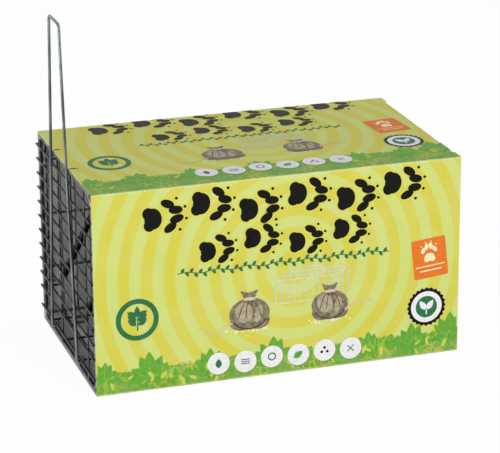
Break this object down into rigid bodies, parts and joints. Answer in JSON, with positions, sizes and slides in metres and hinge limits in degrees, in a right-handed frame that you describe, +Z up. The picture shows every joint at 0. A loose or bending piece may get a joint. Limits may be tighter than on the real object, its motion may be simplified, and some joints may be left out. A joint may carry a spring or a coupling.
{
  "type": "rat cage trap",
  "caption": "Live-catch wire cage with a spring-closed lifting door, a setting lever and a bait trigger, packed in an open-ended sleeve of printed card.",
  "frame": {"origin": "on the floor, under the middle of the whole object's box", "axes": "+X from the door end to the closed end, +Y from the front side to the back side, +Z up"},
  "size_m": [0.2844, 0.167, 0.2616],
  "materials": {
    "frame_wire": "galvanised, dull",
    "mesh_wire": "galvanised, dull",
    "lever_wire": "galvanised, bright",
    "ring_wire": "zinc plated",
    "spring_steel": "oiled black spring wire",
    "printed_card": "printed lime-green card, satin varnish outside, raw board inside"
  },
  "bodies": {
    "cage": {"floor_mesh": "mesh_wire", "roof_mesh": "mesh_wire", "front_side_mesh": "mesh_wire", "back_side_mesh": "mesh_wire", "rear_grille": "mesh_wire", "entrance_frame": "frame_wire", "rear_frame": "frame_wire", "lower_front_rod": "frame_wire", "lower_back_rod": "frame_wire", "upper_front_rod": "frame_wire", "upper_back_rod": "frame_wire", "spring_anchor_bar": "frame_wire", "trigger_bar": "frame_wire", "front_hinge_ring": "ring_wire", "back_hinge_ring": "ring_wire"},
    "door": {"door_frame": "frame_wire", "door_grille": "mesh_wire", "setting_lever": "lever_wire", "front_spring_eye": "lever_wire", "back_spring_eye": "lever_wire"},
    "front_spring_hook": {"front_spring_hook": "spring_steel"},
    "front_spring": {"front_spring": "spring_steel"},
    "back_spring_hook": {"back_spring_hook": "spring_steel"},
    "back_spring": {"back_spring": "spring_steel"},
    "trigger": {"trigger": "lever_wire"},
    "sleeve": {"card_sleeve": "printed_card"}
  },
  "joints": [
    {"name": "door_hinge", "type": "hinge", "parent": "cage", "child": "door", "pos_m": [-0.1368, 0, 0.15095], "axis": [0, 1, 0], "range_deg": [0, 90], "stiffness_Nm_per_rad": 0.06, "springref_deg": -85.94},
    {"name": "front_spring_swing", "type": "hinge", "parent": "cage", "child": "front_spring_hook", "pos_m": [-0.0768, 0, 0.14675], "axis": [0, 1, 0], "range_deg": [0, 62.53]},
    {"name": "front_spring_stretch", "type": "slide", "parent": "front_spring_hook", "child": "front_spring", "axis": [-0.454, 0, -0.891], "range_m": [0, 0.05115], "deforming": ["front_spring"]},
    {"name": "back_spring_swing", "type": "hinge", "parent": "cage", "child": "back_spring_hook", "pos_m": [-0.0768, 0, 0.14675], "axis": [0, 1, 0], "range_deg": [0, 62.53]},
    {"name": "back_spring_stretch", "type": "slide", "parent": "back_spring_hook", "child": "back_spring", "axis": [-0.454, 0, -0.891], "range_m": [0, 0.05115], "deforming": ["back_spring"]},
    {"name": "trigger_swing", "type": "hinge", "parent": "cage", "child": "trigger", "pos_m": [-0.02613, 0, 0.14675], "axis": [0, 1, 0], "range_deg": [-4, 10]},
    {"name": "sleeve_slide", "type": "slide", "parent": "cage", "child": "sleeve", "axis": [1, 0, 0], "range_m": [0, 0.285]}
  ],
  "couplings": [
    {"joint": "front_spring_swing", "follows": "door_hinge", "ratio": 0.69475},
    {"joint": "front_spring_stretch", "follows": "door_hinge", "m_per_rad": 0.032559},
    {"joint": "back_spring_swing", "follows": "door_hinge", "ratio": 0.69475},
    {"joint": "back_spring_stretch", "follows": "door_hinge", "m_per_rad": 0.032559}
  ]
}
